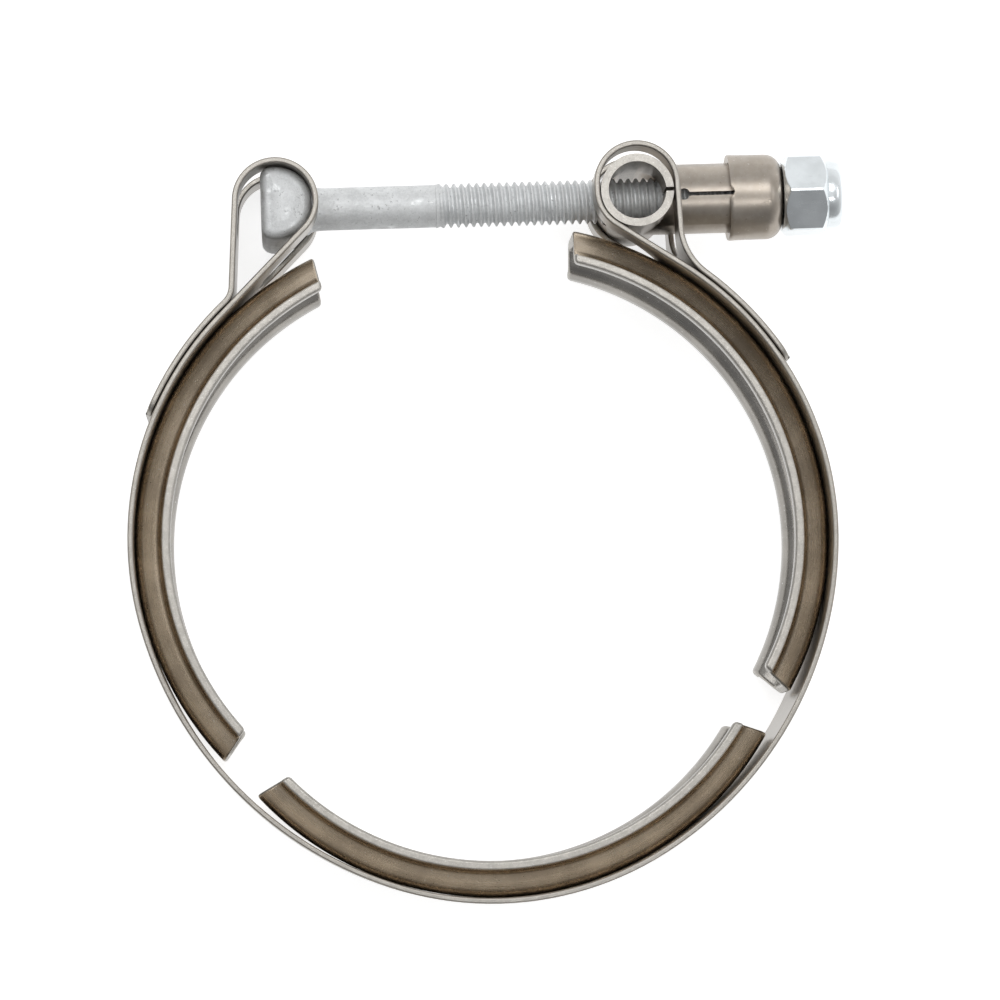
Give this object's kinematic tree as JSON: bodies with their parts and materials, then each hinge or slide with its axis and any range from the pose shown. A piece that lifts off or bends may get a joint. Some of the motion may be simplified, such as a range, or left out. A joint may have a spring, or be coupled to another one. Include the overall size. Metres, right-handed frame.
{
  "type": "v band clamp",
  "caption": "T-bolt V-band clamp: V-section retainers inside a looped steel band that a bolt and lock nut draw closed round a pair of flanges.",
  "frame": {"origin": "centre of the bottom retainer at mid width, which is the flange joint's centre when the clamp is closed", "axes": "+Z along the ring's axis, +X along the bolt from its head to its nut, +Y from the ring's centre towards the bolt"},
  "size_m": [0.0948, 0.0981, 0.019],
  "materials": {
    "band_steel": "satin",
    "retainer_steel": "satin",
    "bolt_zinc_flake": "matte",
    "trunnion_steel": "satin",
    "nut_zinc": "bright"
  },
  "bodies": {
    "ring_base": {"band": "band_steel", "v_segment_bottom": "retainer_steel"},
    "left_jaw": {"v_segment_left": "retainer_steel"},
    "right_jaw": {"v_segment_right": "retainer_steel"},
    "bolt": {"t_bolt": "bolt_zinc_flake"},
    "latch": {"trunnion": "trunnion_steel", "trunnion_cap": "trunnion_steel"},
    "nut": {"lock_nut": "nut_zinc"}
  },
  "joints": [
    {"name": "jaw_left", "type": "hinge", "parent": "ring_base", "child": "left_jaw", "pos_m": [-0.03204, -0.02375, 0], "axis": [0, 0, -1], "range_deg": [0, 10.2], "stiffness_Nm_per_rad": 2.8, "deforming": ["band"]},
    {"name": "jaw_right", "type": "hinge", "parent": "ring_base", "child": "right_jaw", "pos_m": [0.03559, -0.01779, 0], "axis": [0, 0, 1], "range_deg": [0, 8.9], "stiffness_Nm_per_rad": 2.8, "deforming": ["band"]},
    {"name": "bolt_swing", "type": "hinge", "parent": "left_jaw", "child": "bolt", "pos_m": [-0.02629, 0.04972, 0], "axis": [0, 0, 1], "range_deg": [0, 7.95]},
    {"name": "trunnion_slide", "type": "slide", "parent": "bolt", "child": "latch", "axis": [-1, 0, 0], "range_m": [0, 0.02317]},
    {"name": "nut_spin", "type": "hinge", "parent": "latch", "child": "nut", "pos_m": [0.0404, 0.04972, 0], "axis": [1, 0, 0], "continuous": true}
  ],
  "couplings": [
    {"joint": "jaw_right", "follows": "jaw_left", "ratio": 0.87255},
    {"joint": "bolt_swing", "follows": "jaw_left", "ratio": 0.7794},
    {"joint": "trunnion_slide", "follows": "jaw_left", "m_per_rad": 0.13013}
  ]
}
